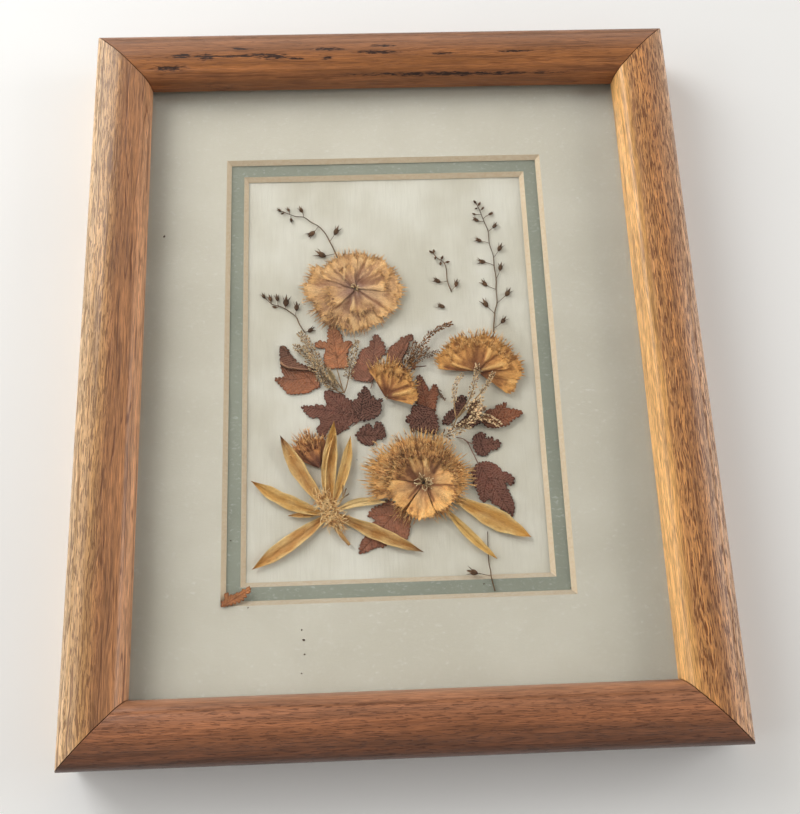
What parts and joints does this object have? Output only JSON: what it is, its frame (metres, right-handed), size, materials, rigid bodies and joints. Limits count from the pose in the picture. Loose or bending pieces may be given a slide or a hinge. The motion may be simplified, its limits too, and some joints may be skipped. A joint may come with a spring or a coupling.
{
  "type": "pressed flower frame",
  "caption": "Small oak picture frame with glass and two bevelled mats, holding dried pressed flowers, leaves, seed sprigs and feathery spikes on an off-white sheet.",
  "frame": {"origin": "middle of the frame's back, on the surface it lies on", "axes": "+X to the picture's right, +Y to the picture's top, +Z out of the picture towards the viewer"},
  "size_m": [0.2342, 0.2838, 0.026],
  "materials": {
    "oak": "stained golden-brown, satin varnish, dark open pores",
    "glass": "clear, smooth",
    "sage_card": "matt card, pale grey-sage, cream bevels",
    "green_card": "matt card, grey-green, cream bevels",
    "off_white_paper": "matt laid paper, warm off-white",
    "grey_board": "plain grey-brown board",
    "steel": "thin zinc-bright steel",
    "tan_petal": "dry pressed petals, tan",
    "gold_petal": "dry pressed petals, golden brown",
    "yellow_petal": "dry pressed petals, yellow-gold",
    "russet_leaf": "dry pressed leaf, russet",
    "mauve_leaf": "dry pressed leaf, mauve-brown",
    "dark_leaf": "dry pressed leaf, dark purple-brown",
    "dry_stem": "dry stems and seed cups",
    "pale_spike": "dry feathery florets, pale brown"
  },
  "bodies": {
    "root": {"rail_top": "oak", "rail_right": "oak", "rail_bottom": "oak", "rail_left": "oak", "glass": "glass", "outer_mat": "sage_card", "inner_mat": "green_card", "mount_sheet": "off_white_paper", "backing_board": "grey_board", "sawtooth_hanger": "steel", "framing_point_top_1": "steel", "framing_point_top_2": "steel", "framing_point_right_1": "steel", "framing_point_right_2": "steel", "framing_point_bottom_1": "steel", "framing_point_bottom_2": "steel", "framing_point_left_1": "steel", "framing_point_left_2": "steel", "leaf_folded_left": "mauve_leaf", "leaf_russet_top": "russet_leaf", "leaf_mauve_middle": "mauve_leaf", "leaf_purple_upright": "mauve_leaf", "leaf_dark_left": "dark_leaf", "leaf_dark_centre": "dark_leaf", "leaf_dark_low": "dark_leaf", "leaf_red_pointed": "russet_leaf", "leaf_black_lobed": "dark_leaf", "leaf_black_two_lobed": "dark_leaf", "leaf_behind_spikes": "dark_leaf", "leaf_red_right": "russet_leaf", "leaf_mauve_low": "mauve_leaf", "leaf_pair_right": "dark_leaf", "leaf_scrap_on_mat": "russet_leaf", "flower_top_left": "tan_petal", "flower_middle": "gold_petal", "flower_right": "gold_petal", "flower_bud_left": "gold_petal", "flower_bottom": "tan_petal", "lily_left": "yellow_petal", "petal_broad": "yellow_petal", "petal_narrow": "yellow_petal", "sprig_top_left": "dry_stem", "sprig_left": "dry_stem", "sprig_right": "dry_stem", "sprig_small": "dry_stem", "loose_seed_cup": "dry_stem", "loose_twig": "dry_stem", "twig_dark_small": "dry_stem", "spray_left": "pale_spike", "spray_middle": "pale_spike", "spray_right": "pale_spike"}
  },
  "joints": []
}
